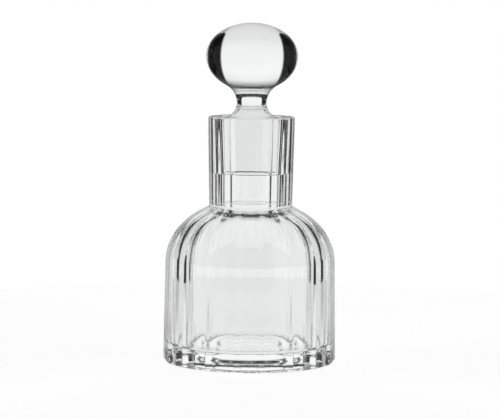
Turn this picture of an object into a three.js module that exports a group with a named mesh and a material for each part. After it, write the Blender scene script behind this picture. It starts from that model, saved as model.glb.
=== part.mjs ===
// A fluted glass carafe with its solid glass stopper, standing on z = 0 and centred on the z axis.
// Every size is in millimetres. A height is measured up from the surface that the carafe stands on.

import * as THREE from 'three';

// Outside of the carafe, measured over the crests of its ribs
const baseRadius = 62.5;
const baseRounding = 2.4;
const heelHeight = 0.6;
const shoulderRadius = 61.4;
const shoulderHeight = 72;
const shoulderRise = 47;
const neckFootRadius = 30;
const neckFootFillet = 1.5;
const neckWaistRadius = 30.55;
const neckWaistHeight = 140;
const lipRadius = 31.2;
const lipHeight = 8;
const rimHeight = 177.5;

// Hollow under the base, inside the ring that the carafe stands on, with a deeper hollow in its middle
const recessRadius = 49.5;
const recessDepth = 2.2;
const hollowRadius = 24.7;
const hollowDepth = 2.5;
const hollowSlope = 4.6;

// Flutes, which run unbroken from the heel to the rim
const fluteCount = 18;
const columnsPerFlute = 5;
const bodyFluteDepth = 1.8;
const neckFluteDepth = 0.7;
const rimBevel = 0.5;

// Cavity
const floorThickness = 11.5;
const floorRise = 4;
const floorCornerWidth = 4.6;
const floorCornerHeight = 3.2;
const cavityRadius = 49.5;
const cavityRise = 37.5;
const cavityFullness = 2.6;
const throatConeWidth = 6.1;
const throatConeRise = 2.5;
const throatRadius = 21;
const throatFillet = 2.5;

// Ground seat for the stopper
const mouthBevelDepth = 5;
const mouthBevelWidth = 0.4;
const stopperClearance = 0.3;
const seatOverrun = 1;
const seatStep = 0.3;

// Stopper, whose upper parts are stacked on each other up from the rim. The plug's cone ends just below
// the rim, where the flared foot of the stem begins.
const plugLength = 39.5;
const plugTopRadius = 21.2;
const plugTipRadius = 18.7;
const plugTipBevel = 0.4;
const plugSink = 0.6;
const stemRadius = 10.75;
const stemLift = 9.8;
const knobRadius = 33.1;
const knobLift = 33.9;
const knobTopRise = 23.8;
const knobUnderside = 25.4;
const stopperColumns = 48;

// Steps along the curves of each outline
const recessSteps = 3;
const floorSteps = 3;
const shoulderSteps = 7;
const filletSteps = 2;
const knobSteps = 9;
const stemSteps = 4;
const flareSteps = 6;
const bisections = 50;
const ellipseFullness = 2;

const glassColour = 0xf2f5f5;
const glassRoughness = 0.03;
const glassOpacityShare = 0.35;

const point = (radius, height) => new THREE.Vector2(radius, height);

function glass(name) {
  const material = new THREE.MeshStandardMaterial({
    color: glassColour,
    roughness: glassRoughness,
    metalness: 0,
    transparent: true,
    opacity: glassOpacityShare,
  });
  material.name = name;
  return material;
}

// A stretch of a dome centred on the axis, from one radius to another. A fullness of 2 makes the dome
// an ellipse, and a higher one makes its shoulder squarer.
function domeStretch(footHeight, radius, rise, fullness, fromRadius, toRadius, steps) {
  const fromAngle = Math.acos(fromRadius / radius);
  const toAngle = Math.acos(toRadius / radius);
  const points = [];
  for (let i = 0; i <= steps; i += 1) {
    const out = Math.cos(fromAngle + ((toAngle - fromAngle) * i) / steps);
    const up = (1 - out ** fullness) ** (1 / fullness);
    points.push(point(radius * out, footHeight + rise * up));
  }
  return points;
}

// A rounded corner: a curve that leaves `from` towards `corner` and arrives at `to`
function roundedCorner(from, corner, to, steps) {
  return new THREE.QuadraticBezierCurve(from, corner, to).getPoints(steps);
}

// How far below the rib crests the glass lies, at an angle counted from a crest: a shallow round hollow
function fluteHollow(angle) {
  const pitch = (2 * Math.PI) / fluteCount;
  const across = (((angle % pitch) + pitch) % pitch) / pitch;
  return Math.sin(Math.PI * across);
}

const heelTop = baseRounding + heelHeight;

// The flutes are deeper on the body than on the neck, and run out smoothly down the heel
function fluteDepthAt(radius, height) {
  const along = (radius - neckFootRadius) / (shoulderRadius - neckFootRadius);
  const depth = neckFluteDepth + (bodyFluteDepth - neckFluteDepth) * Math.max(0, along);
  const belowHeelTop = Math.max(0, 1 - height / heelTop);
  return depth * (1 - belowHeelTop ** 2);
}

const plugTipHeight = rimHeight - plugLength;
const stemHeight = rimHeight + stemLift;
const knobHeight = stemHeight + knobLift;

// The plug's radius at a height, which the seat in the neck follows with the clearance added
function plugRadiusAt(height) {
  const along = (height - plugTipHeight) / plugLength;
  return plugTipRadius + (plugTopRadius - plugTipRadius) * along;
}

function seatRadiusAt(height) {
  return plugRadiusAt(height) + stopperClearance;
}

// The hollow under the base, from its middle out to the ring that the carafe stands on
function recessOutline() {
  const points = [
    point(0, recessDepth + hollowDepth),
    point(hollowRadius - hollowSlope, recessDepth + hollowDepth),
  ];
  for (let i = 0; i <= recessSteps; i += 1) {
    const out = i / recessSteps;
    points.push(point(hollowRadius + (recessRadius - hollowRadius) * out, recessDepth * (1 - out ** 2)));
  }
  return points;
}

// The outside outline, from the outer edge of that ring up to the rim
function outsideOutline() {
  const wallSlope = (shoulderRadius - baseRadius) / shoulderHeight;
  const wallPoint = (height) => point(baseRadius + wallSlope * height, height);
  const ringEdge = point(baseRadius - baseRounding, 0);
  const filletRadius = neckFootRadius + neckFootFillet;
  const shoulder = domeStretch(shoulderHeight, shoulderRadius, shoulderRise, ellipseFullness,
    shoulderRadius, filletRadius, shoulderSteps);
  const shoulderEnd = shoulder[shoulder.length - 1];
  const footSlope = (shoulder[shoulder.length - 2].y - shoulderEnd.y)
    / (shoulder[shoulder.length - 2].x - shoulderEnd.x);
  const foot = point(neckFootRadius, shoulderEnd.y + footSlope * (neckFootRadius - shoulderEnd.x));
  const neckStart = point(neckFootRadius, foot.y + neckFootFillet);
  return [
    ...roundedCorner(ringEdge, wallPoint(0), wallPoint(baseRounding), filletSteps),
    wallPoint(heelTop),
    ...shoulder.slice(0, -1),
    ...roundedCorner(shoulderEnd, foot, neckStart, filletSteps),
    point(neckWaistRadius, neckWaistHeight),
    point(lipRadius, rimHeight - lipHeight),
    point(lipRadius, rimHeight - rimBevel),
    point(lipRadius - rimBevel, rimHeight),
  ];
}

// The inside outline, from the mouth down through the seat and the throat to the middle of the floor
function insideOutline() {
  const bevelFoot = rimHeight - mouthBevelDepth;
  const seatFoot = plugTipHeight - seatOverrun;
  const dome = domeStretch(shoulderHeight, cavityRadius, cavityRise, cavityFullness,
    throatRadius + throatConeWidth, cavityRadius, shoulderSteps);
  const throatFoot = point(throatRadius, dome[0].y + throatConeRise);
  const coneStart = throatFoot.clone().lerp(dome[0], throatFillet / throatFoot.distanceTo(dome[0]));
  const floorCorner = new THREE.EllipseCurve(
    cavityRadius - floorCornerWidth, floorThickness + floorCornerHeight,
    floorCornerWidth, floorCornerHeight, 0, -Math.PI / 2, true);
  const cornerEnd = cavityRadius - floorCornerWidth;
  const floor = [];
  for (let i = 1; i <= floorSteps; i += 1) {
    const out = 1 - i / floorSteps;
    floor.push(point(cornerEnd * out, floorThickness + floorRise * (1 - out ** 2)));
  }
  return [
    point(seatRadiusAt(bevelFoot) + mouthBevelWidth, rimHeight),
    point(seatRadiusAt(bevelFoot), bevelFoot),
    point(seatRadiusAt(seatFoot), seatFoot),
    point(throatRadius, seatFoot - seatStep),
    ...roundedCorner(point(throatRadius, throatFoot.y + throatFillet), throatFoot, coneStart, filletSteps),
    ...dome,
    ...floorCorner.getPoints(filletSteps),
    ...floor,
  ];
}

function carafeBody() {
  const recess = recessOutline();
  const outside = outsideOutline();
  const outline = [...recess, ...outside, ...insideOutline()];
  const columns = fluteCount * columnsPerFlute;
  const geometry = new THREE.LatheGeometry(outline, columns);
  const positions = geometry.getAttribute('position');
  // The lathe lays its points out column by column, each with the recess first and then the outside.
  for (let column = 0; column <= columns; column += 1) {
    const angle = (2 * Math.PI * (column % columns)) / columns;
    const hollow = fluteHollow(angle);
    outline.forEach(({ x: radius, y: height }, row) => {
      const fluted = row >= recess.length && row < recess.length + outside.length;
      const depth = fluted ? fluteDepthAt(radius, height) * hollow : 0;
      const index = column * outline.length + row;
      positions.setXYZ(index, (radius - depth) * Math.sin(angle), height, (radius - depth) * Math.cos(angle));
    });
  }
  geometry.rotateX(Math.PI / 2);
  geometry.rotateZ(Math.PI / fluteCount);
  const mesh = new THREE.Mesh(geometry, glass('body_glass'));
  mesh.name = 'carafe_body';
  return mesh;
}

// How far the stem's upper curve turns before it runs smoothly into the knob's underside.
// At a turn t the curve rises at a slope of 1 / tan(t), and the underside has that slope at one place only.
function undersideMeeting(turn) {
  const around = Math.atan(knobRadius / (knobUnderside * Math.tan(turn)));
  const meeting = point(knobRadius * Math.sin(around), knobHeight - knobUnderside * Math.cos(around));
  const curveRadius = (meeting.x - stemRadius) / (1 - Math.cos(turn));
  return { meeting, curveRadius, miss: stemHeight + curveRadius * Math.sin(turn) - meeting.y };
}

function stemCurve() {
  let low = Math.PI / 6;
  let high = Math.PI / 2;
  for (let i = 0; i < bisections; i += 1) {
    const middle = (low + high) / 2;
    if (undersideMeeting(middle).miss > 0) {
      low = middle;
    } else {
      high = middle;
    }
  }
  const { curveRadius, meeting } = undersideMeeting(low);
  const centre = point(stemRadius + curveRadius, stemHeight);
  const points = [];
  for (let i = 1; i <= stemSteps; i += 1) {
    const angle = (low * i) / stemSteps;
    points.push(point(centre.x - curveRadius * Math.cos(angle), centre.y + curveRadius * Math.sin(angle)));
  }
  return { points, meeting };
}

function stopper() {
  const flareHeight = rimHeight - plugSink;
  const flareRadius = plugRadiusAt(flareHeight);
  const flare = new THREE.EllipseCurve(
    flareRadius, stemHeight, flareRadius - stemRadius, stemHeight - flareHeight, -Math.PI / 2, -Math.PI, true);
  const curve = stemCurve();
  const underside = domeStretch(knobHeight, knobRadius, -knobUnderside, ellipseFullness,
    curve.meeting.x, knobRadius, knobSteps);
  const crown = domeStretch(knobHeight, knobRadius, knobTopRise, ellipseFullness,
    knobRadius, 0, knobSteps);
  const outline = [
    point(0, plugTipHeight),
    point(plugTipRadius - plugTipBevel, plugTipHeight),
    point(plugRadiusAt(plugTipHeight + plugTipBevel), plugTipHeight + plugTipBevel),
    ...flare.getPoints(flareSteps),
    ...curve.points,
    ...underside.slice(1),
    ...crown.slice(1),
  ];
  outline[outline.length - 1].x = 0;
  const geometry = new THREE.LatheGeometry(outline, stopperColumns);
  geometry.rotateX(Math.PI / 2);
  const mesh = new THREE.Mesh(geometry, glass('stopper_glass'));
  mesh.name = 'stopper';
  return mesh;
}

const carafe = new THREE.Group();
carafe.name = 'fluted_carafe';
carafe.add(carafeBody(), stopper());

export default carafe;
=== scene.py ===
"""A fluted clear-glass carafe with its solid glass stopper, dressed on the packed CAD frame."""

import math

import bpy
import numpy as np
from bpy.props import FloatProperty, FloatVectorProperty, IntProperty, PointerProperty
from mathutils import Matrix, Vector


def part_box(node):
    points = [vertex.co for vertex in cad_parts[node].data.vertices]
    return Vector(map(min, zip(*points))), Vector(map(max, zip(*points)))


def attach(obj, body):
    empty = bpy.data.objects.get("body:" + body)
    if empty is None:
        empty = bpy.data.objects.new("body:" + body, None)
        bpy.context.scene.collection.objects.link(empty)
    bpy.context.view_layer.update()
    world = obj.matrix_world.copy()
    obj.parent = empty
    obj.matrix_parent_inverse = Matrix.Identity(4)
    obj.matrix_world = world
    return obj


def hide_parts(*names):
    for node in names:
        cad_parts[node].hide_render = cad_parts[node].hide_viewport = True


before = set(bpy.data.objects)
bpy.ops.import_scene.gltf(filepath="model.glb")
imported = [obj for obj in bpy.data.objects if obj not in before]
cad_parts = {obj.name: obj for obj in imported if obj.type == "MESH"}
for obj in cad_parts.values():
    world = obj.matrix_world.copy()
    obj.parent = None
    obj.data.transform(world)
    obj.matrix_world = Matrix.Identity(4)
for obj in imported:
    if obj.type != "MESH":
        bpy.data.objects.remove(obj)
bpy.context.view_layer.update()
BODY_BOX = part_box("carafe_body")

# Number of points on each stretch of the outlines, and of columns round each piece
OUTSIDE_STEPS = {"roof": 14, "hollow side": 18, "recess": 24, "ring": 5, "edge": 11, "wall": 22,
                 "dome": 56, "fillet": 11, "neck": 38, "rim": 3}
INSIDE_STEPS = {"mouth": (6, 4, 26, 3, 20), "fillet": 9, "cone": 14, "dome": 56, "wall": 22,
                "corner": 17, "floor": 22}
STOPPER_STEPS = {"plug": (10, 28), "flare": 30, "stem": 22, "underside": 46, "crown": 56}
CORNER_STEPS = 5
COLUMNS_PER_FLUTE = 14
STOPPER_COLUMNS = 168
TABLE_COLUMNS = 96
CARD_COLUMNS = 24

# Small sizes, shares and limits of the shapes
ELLIPSE = 2.0
RIB_CROWDING = 1.5
NECK_SMOOTHING = np.array([1, 2, 3, 2, 1]) / 9
MOUTH_ROUNDING = 0.0001
SAME_POINT = 1e-7
SMALLEST_RADIUS = 0.001
STEM_TURN = (math.pi / 6, math.pi / 2 - 0.001)
HALVINGS = 60

# The studio
TABLE_COLOUR = 0.9
TABLE_RINGS = np.array([0.0, 0.4, 1.0])
TABLE_DROP = 0.0003
TABLE_THICKNESS = 0.01
CAMERA_ASIDE = -0.00044
LIGHT_BOUNCES = 32
PANEL_SOFTNESS = math.radians(1.2)
LEFT_CARD_WIDTH = math.radians(20)
# Degrees above the horizon, or from the panels' upper edge, each with its grey level
PANEL_LEVELS = ((-90.0, 0.7), (-45.0, 0.72), (-40.0, 0.91), (-20.0, 0.84), (-8.0, 0.95), (16.0, 1.0))
PANEL_FADE = ((-7.0, 0.9), (5.0, 0.0))

bl_info = {
    "name": "Fluted Glass Carafe",
    "version": (1, 0, 0),
    "blender": (4, 5, 0),
    "location": "View3D > Sidebar > Carafe",
    "description": "Makes a fluted clear-glass carafe, its solid glass stopper and a pale studio",
    "category": "Add Mesh",
}


# Properties


def length(name, description, default):
    """A property that holds a length in metres."""
    return FloatProperty(name=name, description=description, default=default, min=0.0,
                         precision=5, unit="LENGTH", subtype="DISTANCE")


def share(name, description, default):
    """A property that holds a share from 0 to 1."""
    return FloatProperty(name=name, description=description, default=default, min=0.0,
                         max=1.0, precision=3, subtype="FACTOR")


def level(name, description, default):
    """A property that holds a brightness, where 1 is white."""
    return FloatProperty(name=name, description=description, default=default, min=0.0, precision=3)


def turn(name, description, degrees):
    """A property that holds an angle."""
    return FloatProperty(name=name, description=description, default=math.radians(degrees),
                         precision=4, unit="ROTATION", subtype="ANGLE")


class CarafeOutside(bpy.types.PropertyGroup):
    """Sizes of the outside, over the crests of the ribs."""
    base_radius: length("Base Radius", "Radius over the ribs where the carafe stands", 0.0625)
    base_round: length("Base Rounding", "Radius of the rounded bottom edge", 0.00246)
    heel_height: length("Heel Height", "Height over which the flutes run out towards the base", 0.0015)
    recess_radius: length("Recess Radius", "Radius of the shallow hollow under the base", 0.0495)
    recess_depth: length("Recess Depth", "Height of that hollow where the inner one begins", 0.0022)
    hollow_radius: length("Inner Hollow Radius", "Radius of the deeper hollow inside it", 0.0247)
    hollow_depth: length("Inner Hollow Depth", "How much higher the inner hollow goes", 0.00256)
    hollow_slope: length("Inner Hollow Slope", "Width of its sloping side", 0.0046)
    shoulder_radius: length("Shoulder Radius", "Radius where the dome of the shoulder begins", 0.0614)
    shoulder_height: length("Shoulder Height", "Height where the dome of the shoulder begins", 0.072)
    shoulder_rise: length("Shoulder Rise", "Height of the dome above that, up to its own top", 0.047)
    foot_radius: length("Neck Foot Radius", "Radius of the neck at its foot", 0.030)
    foot_fillet: length("Neck Foot Fillet", "Size of the hollow corner between shoulder and neck", 0.0015)
    waist_radius: length("Neck Waist Radius", "Radius half-way up the neck", 0.03055)
    waist_height: length("Neck Waist Height", "Height of that place", 0.140)
    lip_radius: length("Lip Radius", "Radius of the neck's upper end", 0.0312)
    lip_height: length("Lip Height", "Height of the straight part below the rim", 0.008)
    rim_height: length("Rim Height", "Height of the rim", BODY_BOX[1][2])
    rim_bevel: length("Rim Bevel", "Width of the bevel round the rim", 0.0005)


class CarafeFlutes(bpy.types.PropertyGroup):
    """The hollow flutes and the ribs between them."""
    count: IntProperty(name="Flutes", description="Number of flutes round the carafe",
                       default=18, min=6, max=36)
    body_depth: length("Body Flute Depth", "Depth of a flute on the body", 0.0016)
    neck_depth: length("Neck Flute Depth", "Depth of a flute on the neck", 0.00072)
    rib_round: length("Rib Rounding", "How far the round of a rib reaches into the flute", 0.0012)
    flatness: FloatProperty(name="Flute Flatness", description="2 is a round hollow, more is flatter",
                            default=2.6, min=1.0, max=6.0)


class CarafeCavity(bpy.types.PropertyGroup):
    """Sizes of the inside."""
    floor_thickness: length("Floor Thickness", "Height of the floor at its rounded corner", 0.01156)
    floor_rise: length("Floor Rise", "How much higher the floor is in its middle", 0.00406)
    corner_width: length("Floor Corner Width", "Width of the round corner of the floor", 0.0046)
    corner_height: length("Floor Corner Height", "Height of that corner", 0.0032)
    radius: length("Cavity Radius", "Radius of the cavity", 0.0495)
    shoulder_height: length("Cavity Shoulder Height", "Height where the cavity's dome begins", 0.0712)
    rise: length("Cavity Rise", "Height of the cavity's dome", 0.0375)
    fullness: FloatProperty(name="Dome Fullness", description="2 is an ellipse, more is squarer",
                            default=2.59, min=1.5, max=4.0)
    throat_radius: length("Throat Radius", "Radius of the bore below the stopper's seat", 0.021)
    throat_fillet: length("Throat Fillet", "Rounding where the bore opens into the cavity", 0.0025)
    cone_width: length("Throat Cone Width", "Width of the straight slope from there to the dome", 0.0061)
    cone_rise: length("Throat Cone Rise", "Height of that slope", 0.0025)
    mouth_bevel_depth: length("Mouth Bevel Depth", "Depth of the flare at the mouth", 0.005)
    mouth_bevel_width: length("Mouth Bevel Width", "Width of the flare at the mouth", 0.0004)
    clearance: length("Stopper Clearance", "Gap between the stopper and its seat", 0.0003)
    overrun: length("Seat Overrun", "Length of the seat below the plug", 0.001)
    seat_step: length("Seat Step", "Height of the step from the seat to the bore below it", 0.0003)


class StopperSizes(bpy.types.PropertyGroup):
    """Sizes of the stopper."""
    plug_length: length("Plug Length", "Length of the plug below the rim", 0.0395)
    plug_top: length("Plug Top Radius", "Radius of the plug's cone where it would meet the rim", 0.0212)
    plug_tip: length("Plug Tip Radius", "Radius of the plug at its lower end", 0.0187)
    plug_bevel: length("Plug Bevel", "Rounding of the plug's lower edge", 0.0004)
    stem_radius: length("Stem Radius", "Radius of the stem at its narrowest", 0.01075)
    stem_height: length("Stem Height", "Height of that place", 0.1873)
    plug_sink: length("Plug Sink", "How far below the rim the cone ends and the stem's foot begins", 0.0006)
    knob_radius: length("Knob Radius", "Radius of the knob", 0.0331)
    knob_height: length("Knob Height", "Height of the knob's widest place", 0.2212)
    knob_rise: length("Knob Rise", "Height of the crown above that", 0.0238)
    knob_drop: length("Knob Drop", "Depth of the underside's ellipse below that", 0.0254)


class GlassFinish(bpy.types.PropertyGroup):
    """How the glass looks."""
    tint: FloatVectorProperty(name="Tint", description="Colour that the glass lends to the light",
                              subtype="COLOR", size=4, min=0.0, max=1.0,
                              default=(0.985, 0.992, 0.99, 1.0))
    waviness: length("Waviness", "Height of the faint waves that pressing leaves", 0.00002)
    wave_size: length("Wave Size", "Width of those waves", 0.012)


class StudioSettings(bpy.types.PropertyGroup):
    """The table, the bright panels, the black cards and the camera."""
    table_radius: length("Table Radius", "Radius of the pale table", 0.45)
    table_level: level("Table Level", "Brightness of the table by itself, as the camera sees it", 0.86)
    table_behind: level("Table Behind Glass", "The same as it is seen through the glass", 0.74)
    # Painted shade on the table, seen only through the glass; it stands for the shade of the black cards,
    # which throw none
    painted_table_shade: share("Table Shade", "Share of its light that the table keeps beside the cards", 0.6)
    painted_shade_from: length("Shade From", "How far from the carafe the table begins to darken there", 0.12)
    painted_shade_width: length("Shade Width", "Distance over which it would darken fully", 0.4)
    mirrored: share("Mirrored Share", "Share of the table and panels that the glass mirrors", 0.2)
    back_half: turn("Back Panel Half Angle", "Half the width of the panel behind the carafe", 31.0)
    side_from: turn("Side Panel From", "Where the panels beside the carafe begin", 65.0)
    side_to: turn("Side Panel To", "Where the left panel beside the carafe ends", 115.0)
    far_to: turn("Far Panel To", "Where the right panel ends, towards the camera's back", 148.0)
    panel_top: turn("Panel Top", "Height of the panels' upper edge as an angle", 31.0)
    flag_level: level("Flag Level", "Brightness of the black cards between the panels", 0.01)
    room_level: level("Room Level", "Brightness behind the camera", 0.05)
    card_distance: length("Card Distance", "Distance of the two near black cards from the axis", 0.35)
    card_foot: length("Card Foot", "Height of their lower edge", 0.03)
    card_top: length("Card Top", "Height of their upper edge", 0.5)
    camera_distance: length("Camera Distance", "Distance of the camera from the axis", 1.741)
    camera_height: length("Camera Height", "Height of the camera above the table", 0.2726)
    camera_pitch: turn("Camera Pitch", "How far the camera looks down", 5.32)
    camera_roll: turn("Camera Roll", "How far the camera is tilted sideways", 0.58)
    focal_length: FloatProperty(name="Focal Length", description="Focal length of the lens",
                                default=0.1738, min=0.01, precision=4, unit="CAMERA")


# Curves in a plane: each is an array of rows (radius, height)


def straight(start, end, count):
    """Evenly spaced points on the straight line from start to end."""
    along = np.linspace(0.0, 1.0, count)[:, None]
    return np.asarray(start) * (1 - along) + np.asarray(end) * along


def bend(start, corner, end, count):
    """A quadratic curve from start to end, which leaves towards the corner and comes in from it."""
    along = np.linspace(0.0, 1.0, count)[:, None]
    start, corner, end = (np.asarray(p, dtype=float) for p in (start, corner, end))
    return (1 - along) ** 2 * start + 2 * along * (1 - along) * corner + along ** 2 * end


def arc(centre, across, upright, from_angle, to_angle, count):
    """Centre plus the cosine of an angle times one half-width and its sine times the other."""
    angle = np.linspace(from_angle, to_angle, count)
    return np.stack([centre[0] + across * np.cos(angle), centre[1] + upright * np.sin(angle)], 1)


def dome(height, radius, rise, fullness, from_radius, to_radius, count):
    """Height = foot + rise * (1 - (r / radius) ^ fullness) ^ (1 / fullness), from one radius to another."""
    ends = np.arccos(np.clip(np.array([from_radius, to_radius]) / radius, 0.0, 1.0))
    radii = radius * np.cos(np.linspace(ends[0], ends[1], count))
    lift = np.clip(1 - (radii / radius) ** fullness, 0.0, None) ** (1 / fullness)
    return np.stack([radii, height + rise * lift], 1)


def chain(*stretches):
    """Joins stretches end to end and drops a point that repeats the one before it."""
    points = np.concatenate(stretches)
    step = np.linalg.norm(np.diff(points, axis=0), axis=1)
    return points[np.concatenate([[True], step > SAME_POINT])]


def cornered(points, rounding, counts):
    """Straight stretches through the points, each inner corner replaced by a small quadratic bend.

    The rounding is how far from its corner a bend begins and ends.
    """
    points = [np.asarray(p, dtype=float) for p in points]
    stretches, start = [], points[0]
    for before, corner, after, count in zip(points, points[1:], points[2:], counts):
        towards = (before - corner) / np.linalg.norm(before - corner)
        onwards = (after - corner) / np.linalg.norm(after - corner)
        turn_in, turn_out = corner + towards * rounding, corner + onwards * rounding
        stretches += [straight(start, turn_in, count),
                      bend(turn_in, corner, turn_out, CORNER_STEPS)]
        start = turn_out
    stretches.append(straight(start, points[-1], counts[-1]))
    return chain(*stretches)


# Outlines


def outside_outline(outside):
    """The outline from the middle of the base out, up the body, over the dome and up the neck.

    Returns it with the number of its points that lie under the base.
    """
    o, steps = outside, OUTSIDE_STEPS
    fillet_radius = o.foot_radius + o.foot_fillet
    shoulder = dome(o.shoulder_height, o.shoulder_radius, o.shoulder_rise, ELLIPSE,
                    o.shoulder_radius, fillet_radius, steps["dome"])
    run, climb = shoulder[-1] - shoulder[-2]
    foot = (o.foot_radius, shoulder[-1][1] + climb / run * (o.foot_radius - shoulder[-1][0]))
    neck_start = (o.foot_radius, foot[1] + o.foot_fillet)
    top = o.recess_depth + o.hollow_depth
    roof = straight((0.0, top), (o.hollow_radius - o.hollow_slope, top), steps["roof"])
    way = np.linspace(0.0, 1.0, steps["hollow side"])
    side = np.stack([roof[-1][0] + o.hollow_slope * way,
                     top - o.hollow_depth * (1 - np.cos(math.pi * way)) / 2], 1)
    way = np.linspace(0.0, 1.0, steps["recess"])
    recess = np.stack([o.hollow_radius + (o.recess_radius - o.hollow_radius) * way,
                       o.recess_depth * (1 - way ** 2)], 1)
    ring = straight((o.recess_radius, 0.0), (o.base_radius - o.base_round, 0.0), steps["ring"])
    under = chain(roof, side, recess, ring)
    edge = arc((o.base_radius - o.base_round, o.base_round), o.base_round, o.base_round,
               -math.pi / 2, 0.0, steps["edge"])
    wall = straight((o.base_radius, o.base_round), shoulder[0], steps["wall"])
    heights = np.linspace(neck_start[1], o.rim_height - o.rim_bevel, steps["neck"])
    bends = [neck_start[1], o.waist_height, o.rim_height - o.lip_height, o.rim_height]
    radii = np.interp(heights, bends, [o.foot_radius, o.waist_radius, o.lip_radius, o.lip_radius])
    padded = np.pad(radii, len(NECK_SMOOTHING) // 2, mode="edge")
    radii = np.convolve(padded, NECK_SMOOTHING, "valid")
    neck = np.stack([radii, heights], 1)
    rim = straight(neck[-1], (o.lip_radius - o.rim_bevel, o.rim_height), steps["rim"])
    outline = chain(under, edge, wall, shoulder,
                    bend(shoulder[-1], foot, neck_start, steps["fillet"]), neck, rim)
    return outline, len(under)


def plug_radius(stopper, rim_height, height):
    """The plug's radius grows evenly from its tip to the rim."""
    along = (height - (rim_height - stopper.plug_length)) / stopper.plug_length
    return stopper.plug_tip + (stopper.plug_top - stopper.plug_tip) * along


def inside_outline(outside, cavity, stopper):
    """The outline from the rim down the seat and the bore, over the cavity's dome to its floor."""
    o, c, steps = outside, cavity, INSIDE_STEPS
    rim = o.rim_height
    bevel_foot = rim - c.mouth_bevel_depth
    seat_foot = rim - stopper.plug_length - c.overrun
    seat_top = plug_radius(stopper, rim, bevel_foot) + c.clearance
    seat_end = plug_radius(stopper, rim, seat_foot) + c.clearance
    ceiling = dome(c.shoulder_height, c.radius, c.rise, c.fullness,
                   c.throat_radius + c.cone_width, c.radius, steps["dome"])
    throat_foot = np.array([c.throat_radius, ceiling[0][1] + c.cone_rise])
    throat_start = throat_foot + (0.0, c.throat_fillet)
    slope = ceiling[0] - throat_foot
    cone_start = throat_foot + slope * c.throat_fillet / np.linalg.norm(slope)
    mouth = cornered([(o.lip_radius - o.rim_bevel, rim), (seat_top + c.mouth_bevel_width, rim),
                      (seat_top, bevel_foot), (seat_end, seat_foot),
                      (c.throat_radius, seat_foot - c.seat_step), throat_start],
                     MOUTH_ROUNDING, steps["mouth"])
    wall_foot = (c.radius, c.floor_thickness + c.corner_height)
    corner = arc((c.radius - c.corner_width, wall_foot[1]), c.corner_width, c.corner_height,
                 0.0, -math.pi / 2, steps["corner"])
    way = np.linspace(1.0, 0.0, steps["floor"])
    floor = np.stack([corner[-1][0] * way, c.floor_thickness + c.floor_rise * (1 - way ** 2)], 1)
    return chain(mouth, bend(throat_start, throat_foot, cone_start, steps["fillet"]),
                 straight(cone_start, ceiling[0], steps["cone"]), ceiling,
                 straight(ceiling[-1], wall_foot, steps["wall"]), corner, floor)


def stem_curve(stopper):
    """A circular hollow from the stem, turned until it meets the knob's underside at the same slope.

    The turn is found by halving: at each turn the underside has that slope at one place only.
    """
    s = stopper

    def meeting(angle):
        around = math.atan(s.knob_radius / (s.knob_drop * math.tan(angle)))
        place = (s.knob_radius * math.sin(around), s.knob_height - s.knob_drop * math.cos(around))
        hollow = (place[0] - s.stem_radius) / (1 - math.cos(angle))
        return s.stem_height + hollow * math.sin(angle) - place[1], hollow, around

    low, high = STEM_TURN
    for _ in range(HALVINGS):
        middle = (low + high) / 2
        low, high = (middle, high) if meeting(middle)[0] > 0 else (low, middle)
    _, hollow, around = meeting(low)
    curve = arc((s.stem_radius + hollow, s.stem_height), hollow, hollow,
                math.pi, math.pi - low, STOPPER_STEPS["stem"])
    return curve, around


def stopper_outline(stopper, rim_height):
    """The outline from the plug's tip up its cone, the flared foot, the stem and round the knob."""
    s, steps = stopper, STOPPER_STEPS
    tip = rim_height - s.plug_length
    foot = (plug_radius(s, rim_height, rim_height - s.plug_sink), rim_height - s.plug_sink)
    plug = cornered([(0.0, tip), (s.plug_tip, tip), foot], s.plug_bevel, steps["plug"])
    flare = arc((foot[0], s.stem_height), foot[0] - s.stem_radius, s.stem_height - foot[1],
                -math.pi / 2, -math.pi, steps["flare"])
    curve, around = stem_curve(s)
    underside = arc((0.0, s.knob_height), s.knob_radius, s.knob_drop,
                    around - math.pi / 2, 0.0, steps["underside"])
    crown = arc((0.0, s.knob_height), s.knob_radius, s.knob_rise, 0.0, math.pi / 2,
                steps["crown"])
    crown[-1][0] = 0.0
    return chain(plug, flare, curve, underside, crown)


# Surfaces


def flute_hollow(radii, angles, flutes):
    """How deep a flute is at an angle counted from a rib: 0 on the rib and 1 in the middle.

    With u the share of the way from rib to middle, softened near the rib by the root of u squared
    plus the softness squared, the hollow is 1 - (1 - u) ^ flatness: a flatness of 2 is a round hollow.
    The softness is the rib's rounding as a share of half a flute, so it is greater on the neck.
    """
    across = np.mod(angles * flutes.count / (2 * math.pi), 1.0)
    way = np.minimum(across, 1 - across) * 2
    soft = flutes.rib_round * flutes.count / (math.pi * np.maximum(radii, SMALLEST_RADIUS))
    way = (np.sqrt(way ** 2 + soft ** 2) - soft) / (np.sqrt(1 + soft ** 2) - soft)
    return 1 - (1 - way) ** flutes.flatness


def rib_angles(flutes):
    """Angles round the carafe, closer together on the ribs: the sign of u times |u| ^ RIB_CROWDING."""
    across = np.linspace(-1.0, 1.0, COLUMNS_PER_FLUTE + 1)[:-1]
    across = np.sign(across) * np.abs(across) ** RIB_CROWDING
    pitch = 2 * math.pi / flutes.count
    return (np.arange(flutes.count)[:, None] * pitch + across * pitch / 2).ravel()


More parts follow.
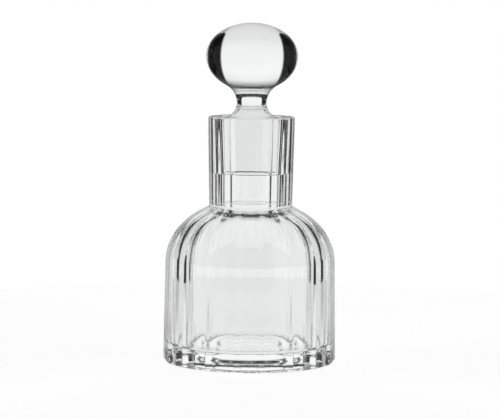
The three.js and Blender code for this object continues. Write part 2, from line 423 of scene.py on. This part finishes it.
def revolved_mesh(name, radii, heights, angles):
    """The surface (r sin a, -r cos a, z) over a grid of outline points and angles, closed at both poles.

    The radii are a grid of rows along the outline and columns round it.
    """
    rows, columns = radii.shape
    grid = np.stack([radii * np.sin(angles), -radii * np.cos(angles),
                     np.broadcast_to(heights[:, None], radii.shape)], -1)
    points = np.concatenate([grid[1:-1].reshape(-1, 3),
                             [[0.0, 0.0, heights[0]], [0.0, 0.0, heights[-1]]]])
    first, last = len(points) - 2, len(points) - 1
    row = np.arange(rows - 3)[:, None] * columns
    column = np.arange(columns)[None, :]
    ahead = (column + 1) % columns
    quads = np.stack(np.broadcast_arrays(row + column, row + ahead, row + columns + ahead,
                                         row + columns + column), -1).reshape(-1, 4)
    top = (rows - 3) * columns
    low_fan = np.stack([np.full(columns, first), ahead[0], column[0]], -1)
    high_fan = np.stack([np.full(columns, last), top + column[0], top + ahead[0]], -1)
    corners = np.concatenate([quads.ravel(), low_fan.ravel(), high_fan.ravel()])
    sizes = np.concatenate([np.full(len(quads), 4), np.full(2 * columns, 3)])
    mesh = bpy.data.meshes.new(name)
    mesh.vertices.add(len(points))
    mesh.vertices.foreach_set("co", points.astype(np.float32).ravel())
    mesh.loops.add(len(corners))
    mesh.loops.foreach_set("vertex_index", corners.astype(np.int32))
    mesh.polygons.add(len(sizes))
    mesh.polygons.foreach_set("loop_start", (np.cumsum(sizes) - sizes).astype(np.int32))
    mesh.polygons.foreach_set("use_smooth", np.ones(len(sizes), dtype=bool))
    mesh.update(calc_edges=True)
    if mesh.validate():
        raise RuntimeError(f"{name}: the surface has faults")
    return mesh


def place(name, mesh, material):
    """Puts a mesh into the scene as an object at the origin."""
    piece = bpy.data.objects.new(name, mesh)
    bpy.context.scene.collection.objects.link(piece)
    mesh.materials.append(material)
    return piece


# Materials


def pressed_glass_waves():
    """A group that gives the height of the faint waves on pressed glass: noise at two sizes."""
    name = "pressed glass waves"
    if name in bpy.data.node_groups:
        return bpy.data.node_groups[name]
    group = bpy.data.node_groups.new(name, "ShaderNodeTree")
    for label, kind, side in (("Vector", "NodeSocketVector", "INPUT"),
                              ("Scale", "NodeSocketFloat", "INPUT"),
                              ("Height", "NodeSocketFloat", "OUTPUT")):
        group.interface.new_socket(name=label, in_out=side, socket_type=kind)
    nodes, links = group.nodes, group.links
    inputs, outputs = nodes.new("NodeGroupInput"), nodes.new("NodeGroupOutput")
    stretch = nodes.new("ShaderNodeMapping")
    stretch.inputs["Scale"].default_value = (1.0, 1.0, 0.35)
    noise = nodes.new("ShaderNodeTexNoise")
    noise.inputs["Detail"].default_value = 1.0
    noise.inputs["Roughness"].default_value = 0.35
    links.new(inputs.outputs["Vector"], stretch.inputs["Vector"])
    links.new(stretch.outputs["Vector"], noise.inputs["Vector"])
    links.new(inputs.outputs["Scale"], noise.inputs["Scale"])
    links.new(noise.outputs["Fac"], outputs.inputs["Height"])
    return group


def clear_glass(name, finish):
    """Clear polished glass: full transmission, no roughness, and faint waves from pressing."""
    material = bpy.data.materials.new(name)
    material.use_nodes = True
    nodes, links = material.node_tree.nodes, material.node_tree.links
    glass = nodes["Principled BSDF"]
    glass.inputs["Base Color"].default_value = finish.tint
    glass.inputs["Metallic"].default_value = 0.0
    glass.inputs["Roughness"].default_value = 0.0
    glass.inputs["IOR"].default_value = 1.5
    glass.inputs["Transmission Weight"].default_value = 1.0
    place_node = nodes.new("ShaderNodeTexCoord")
    waves = nodes.new("ShaderNodeGroup")
    waves.node_tree = pressed_glass_waves()
    waves.inputs["Scale"].default_value = 1.0 / finish.wave_size
    bump = nodes.new("ShaderNodeBump")
    bump.inputs["Strength"].default_value = 1.0
    bump.inputs["Distance"].default_value = finish.waviness
    links.new(place_node.outputs["Object"], waves.inputs["Vector"])
    links.new(waves.outputs["Height"], bump.inputs["Height"])
    links.new(bump.outputs["Normal"], glass.inputs["Normal"])
    return material


def math_node(nodes, links, operation, *values):
    """Adds a node of one sum and gives its result. A value is a number or another node's result."""
    node = nodes.new("ShaderNodeMath")
    node.operation = operation
    for socket, value in zip(node.inputs, values):
        if isinstance(value, (int, float)):
            socket.default_value = value
        else:
            links.new(value, socket)
    return node.outputs["Value"]


def mirror_ray(nodes, links, rays):
    """1 for a ray that a polished surface has just mirrored, and 0 for one that came through it."""
    return math_node(nodes, links, "SUBTRACT", rays.outputs["Is Glossy Ray"],
                     rays.outputs["Is Transmission Ray"])


def panels_around(nodes, links, studio, x, y):
    """The grey level of the panels and cards in the direction (x, y)."""
    heading = math_node(nodes, links, "ARCTAN2", x, y)
    heading = math_node(nodes, links, "MULTIPLY_ADD", heading, 0.5 / math.pi, 0.5)
    around = nodes.new("ShaderNodeValToRGB")
    set_ramp(around.color_ramp, around_stops(studio))
    links.new(heading, around.inputs["Fac"])
    return around.outputs["Color"]


def pale_table_material(studio):
    """A matt pale table that also shines a little by itself, so that it reads as a white sweep.

    Seen through the glass its colour and glow are painted darker outwards, except towards the bright
    panels. This painted shade stands for the black cards' shade, which the cards themselves don't throw.
    """
    material = bpy.data.materials.new("pale_table")
    material.use_nodes = True
    surface = material.node_tree.nodes["Principled BSDF"]
    surface.inputs["Roughness"].default_value = 0.9
    surface.inputs["Specular IOR Level"].default_value = 0.0
    surface.inputs["Emission Color"].default_value = (1.0, 1.0, 1.0, 1.0)
    nodes, links = material.node_tree.nodes, material.node_tree.links

    def maths(operation, *values):
        return math_node(nodes, links, operation, *values)

    way = nodes.new("ShaderNodeTexCoord")
    parts = nodes.new("ShaderNodeSeparateXYZ")
    links.new(way.outputs["Object"], parts.inputs["Vector"])
    x, y = parts.outputs["X"], parts.outputs["Y"]
    rays = nodes.new("ShaderNodeLightPath")
    # Painted shade: the table's colour and glow fall off beyond the shade distance, down to the table shade
    # share, but stay full towards the bright panels and to the camera
    away = maths("SQRT", maths("ADD", maths("MULTIPLY", x, x), maths("MULTIPLY", y, y)))
    painted_lighting = maths("MULTIPLY_ADD", away, -1.0 / studio.painted_shade_width,
                1.0 + studio.painted_shade_from / studio.painted_shade_width)
    painted_lighting = maths("MINIMUM", maths("MAXIMUM", painted_lighting, studio.painted_table_shade), 1.0)
    painted_lighting = maths("MAXIMUM", painted_lighting, panels_around(nodes, links, studio, x, y))
    painted_lighting = maths("MAXIMUM", painted_lighting, rays.outputs["Is Camera Ray"])
    links.new(maths("MULTIPLY", painted_lighting, TABLE_COLOUR), surface.inputs["Base Color"])
    shine = maths("MULTIPLY_ADD", mirror_ray(nodes, links, rays),
                  studio.table_behind * (studio.mirrored - 1.0), studio.table_behind)
    shine = maths("MULTIPLY_ADD", rays.outputs["Is Camera Ray"],
                  studio.table_level - studio.table_behind, shine)
    links.new(maths("MULTIPLY", shine, painted_lighting), surface.inputs["Emission Strength"])
    return material


def black_card_material():
    """Dull black card."""
    material = bpy.data.materials.new("black_card")
    material.use_nodes = True
    surface = material.node_tree.nodes["Principled BSDF"]
    surface.inputs["Base Color"].default_value = (0.01, 0.01, 0.01, 1.0)
    surface.inputs["Roughness"].default_value = 1.0
    surface.inputs["Specular IOR Level"].default_value = 0.0
    return material


def set_ramp(ramp, stops):
    """Gives a colour ramp its stops, each a position and a grey level."""
    while len(ramp.elements) > 1:
        ramp.elements.remove(ramp.elements[-1])
    ramp.elements[0].position = stops[0][0]
    ramp.elements[0].color = (stops[0][1],) * 3 + (1.0,)
    for position, grey in stops[1:]:
        ramp.elements.new(position).color = (grey,) * 3 + (1.0,)


def around_stops(studio):
    """Grey levels round the horizon: bright panels, with black cards between them.

    A position of 0.5 is straight behind the carafe, and 0 and 1 are behind the camera.
    """
    soft = PANEL_SOFTNESS
    edges = [(-math.pi, studio.room_level), (-studio.side_to - LEFT_CARD_WIDTH, studio.room_level),
             (-studio.side_to - soft, studio.flag_level), (-studio.side_to + soft, 1.0),
             (-studio.side_from - soft, 1.0), (-studio.side_from + soft, studio.flag_level),
             (-studio.back_half - soft, studio.flag_level), (-studio.back_half + soft, 1.0),
             (studio.back_half - soft, 1.0), (studio.back_half + soft, studio.flag_level),
             (studio.side_from - soft, studio.flag_level), (studio.side_from + soft, 1.0),
             (studio.far_to - soft, 1.0), (studio.far_to + soft, studio.flag_level),
             (math.pi, studio.room_level)]
    return [(0.5 + angle / (2 * math.pi), grey) for angle, grey in edges]


def upright_stops(studio):
    """Grey levels up and down: bright to the panels' upper edge, fading near it, and black above."""
    top = math.degrees(studio.panel_top)
    levels = [*PANEL_LEVELS, *((top + angle, grey) for angle, grey in PANEL_FADE), (90.0, 0.0)]
    return [(0.5 + math.sin(math.radians(angle)) / 2, grey) for angle, grey in levels]


def studio_world(studio):
    """The surroundings: white to the camera, and to the glass a ring of panels and black cards."""
    world = bpy.data.worlds.new("studio")
    world.use_nodes = True
    nodes, links = world.node_tree.nodes, world.node_tree.links
    way = nodes.new("ShaderNodeTexCoord")
    parts = nodes.new("ShaderNodeSeparateXYZ")
    links.new(way.outputs["Generated"], parts.inputs["Vector"])

    def maths(operation, *values):
        return math_node(nodes, links, operation, *values)

    around = panels_around(nodes, links, studio, parts.outputs["X"], parts.outputs["Y"])
    height = maths("MULTIPLY_ADD", parts.outputs["Z"], 0.5, 0.5)
    upright = nodes.new("ShaderNodeValToRGB")
    set_ramp(upright.color_ramp, upright_stops(studio))
    links.new(height, upright.inputs["Fac"])
    panels = maths("MULTIPLY", around, upright.outputs["Color"])
    panels = maths("MAXIMUM", panels, studio.flag_level)
    rays = nodes.new("ShaderNodeLightPath")
    dimmed = maths("MULTIPLY_ADD", mirror_ray(nodes, links, rays), studio.mirrored - 1.0, 1.0)
    seen = maths("MAXIMUM", maths("MULTIPLY", panels, dimmed), rays.outputs["Is Camera Ray"])
    links.new(seen, nodes["Background"].inputs["Color"])
    return world


def place_card(studio, side):
    """Places a curved black card, (d sin a, d cos a, z), between the panels on one side.

    The camera doesn't see it, and it throws no shadow on the table.
    """
    angles = np.linspace(studio.back_half, studio.side_from, CARD_COLUMNS) * side
    ring = studio.card_distance * np.stack([np.sin(angles), np.cos(angles)], 1)
    points = [(*spot, height) for height in (studio.card_foot, studio.card_top)
              for spot in ring.tolist()]
    faces = [(i, i + 1, i + 1 + CARD_COLUMNS, i + CARD_COLUMNS) for i in range(CARD_COLUMNS - 1)]
    mesh = bpy.data.meshes.new("black_card")
    mesh.from_pydata(points, [], faces)
    card = place("black_card", mesh, black_card_material())
    card.visible_camera = False
    card.visible_diffuse = False
    card.visible_shadow = False


# Operators


class CARAFE_OT_body(bpy.types.Operator):
    """Make the carafe's fluted glass body"""
    bl_idname = "carafe.make_body"
    bl_label = "Make Body"

    def execute(self, context):
        """Displaces the outside of a revolved outline inwards by depth times the flute's hollow."""
        scene = context.scene
        outside, flutes = scene.carafe_outside, scene.carafe_flutes
        outer, under = outside_outline(outside)
        inner = inside_outline(outside, scene.carafe_cavity, scene.carafe_stopper)
        outline = chain(outer, inner)
        radii, heights = outline[:, :1], outline[:, 1]
        angles = rib_angles(flutes)
        along = (radii - outside.foot_radius) / (outside.shoulder_radius - outside.foot_radius)
        depth = flutes.neck_depth + (flutes.body_depth - flutes.neck_depth) * np.clip(along, 0, None)
        rows = np.arange(len(outline))[:, None]
        heel = np.clip(1 - heights[:, None] / outside.heel_height, 0.0, 1.0)
        depth = depth * (1 - heel ** 2) * ((rows >= under) & (rows < len(outer)))
        grid = radii - depth * flute_hollow(radii, angles, flutes)
        half_pitch = math.pi / flutes.count
        mesh = revolved_mesh("clear_body", grid, heights, angles + half_pitch)
        piece = place("clear_body", mesh, clear_glass("body_glass_clear", scene.carafe_glass))
        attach(piece, "carafe")
        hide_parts("carafe_body")
        return {"FINISHED"}


class CARAFE_OT_stopper(bpy.types.Operator):
    """Make the solid glass stopper"""
    bl_idname = "carafe.make_stopper"
    bl_label = "Make Stopper"

    def execute(self, context):
        """Revolves the stopper's outline."""
        scene = context.scene
        outline = stopper_outline(scene.carafe_stopper, scene.carafe_outside.rim_height)
        angles = np.arange(STOPPER_COLUMNS) * 2 * math.pi / STOPPER_COLUMNS
        grid = np.repeat(outline[:, :1], len(angles), axis=1)
        mesh = revolved_mesh("clear_stopper", grid, outline[:, 1], angles)
        piece = place("clear_stopper", mesh, clear_glass("stopper_glass_clear", scene.carafe_glass))
        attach(piece, "stopper")
        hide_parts("stopper")
        return {"FINISHED"}


class CARAFE_OT_stage(bpy.types.Operator):
    """Make the pale table, the black cards, the studio's surroundings and the camera"""
    bl_idname = "carafe.make_stage"
    bl_label = "Make Stage"

    def execute(self, context):
        """The table is a disc of rings, (r sin a, -r cos a), a hair below the carafe."""
        scene = context.scene
        studio = scene.carafe_studio
        angles = np.arange(TABLE_COLUMNS) * 2 * math.pi / TABLE_COLUMNS
        rings = studio.table_radius * np.concatenate([TABLE_RINGS, TABLE_RINGS[::-1]])
        under = -(TABLE_DROP + TABLE_THICKNESS)
        heights = np.repeat([under, -TABLE_DROP], len(TABLE_RINGS))
        grid = np.repeat(rings[:, None], len(angles), axis=1)
        table = place("pale_table", revolved_mesh("pale_table", grid, heights, angles),
                      pale_table_material(studio))
        table.data.shade_flat()
        place_card(studio, -1)
        place_card(studio, 1)
        scene.world = studio_world(studio)
        lens = bpy.data.cameras.new("photo_camera")
        lens.sensor_width = 36.0
        lens.lens = studio.focal_length * 1000
        camera = bpy.data.objects.new("photo_camera", lens)
        scene.collection.objects.link(camera)
        camera.matrix_world = (
            Matrix.Translation(
                Vector((CAMERA_ASIDE, -studio.camera_distance, studio.camera_height)))
            @ Matrix.Rotation(math.pi / 2 - studio.camera_pitch, 4, "X")
            @ Matrix.Rotation(studio.camera_roll, 4, "Z"))
        scene.camera = camera
        scene.view_settings.view_transform = "Standard"
        scene.cycles.max_bounces = LIGHT_BOUNCES
        scene.cycles.transmission_bounces = LIGHT_BOUNCES
        scene.cycles.glossy_bounces = LIGHT_BOUNCES
        return {"FINISHED"}


class CARAFE_PT_panel(bpy.types.Panel):
    """The makers and sizes of the carafe"""
    bl_idname = "CARAFE_PT_panel"
    bl_label = "Fluted Carafe"
    bl_space_type = "VIEW_3D"
    bl_region_type = "UI"
    bl_category = "Carafe"

    def draw(self, context):
        layout = self.layout
        for operator in OPERATORS:
            layout.operator(operator.bl_idname)
        for name, group in GROUPS.items():
            box = layout.box()
            box.label(text=group.__doc__)
            for prop in group.__annotations__:
                box.prop(getattr(context.scene, name), prop)


OPERATORS = (CARAFE_OT_body, CARAFE_OT_stopper, CARAFE_OT_stage)
GROUPS = {
    "carafe_outside": CarafeOutside,
    "carafe_flutes": CarafeFlutes,
    "carafe_cavity": CarafeCavity,
    "carafe_stopper": StopperSizes,
    "carafe_glass": GlassFinish,
    "carafe_studio": StudioSettings,
}
CLASSES = (*GROUPS.values(), *OPERATORS, CARAFE_PT_panel)


def register():
    for cls in CLASSES:
        bpy.utils.register_class(cls)
    for name, group in GROUPS.items():
        setattr(bpy.types.Scene, name, PointerProperty(type=group))


def unregister():
    for name in GROUPS:
        delattr(bpy.types.Scene, name)
    for cls in reversed(CLASSES):
        bpy.utils.unregister_class(cls)


def main():
    register()
    for operator in OPERATORS:
        group, name = operator.bl_idname.split(".")
        result = getattr(getattr(bpy.ops, group), name)()
        if result != {"FINISHED"}:
            raise RuntimeError(f"{operator.bl_idname} did not finish")


if __name__ == "__main__":
    main()
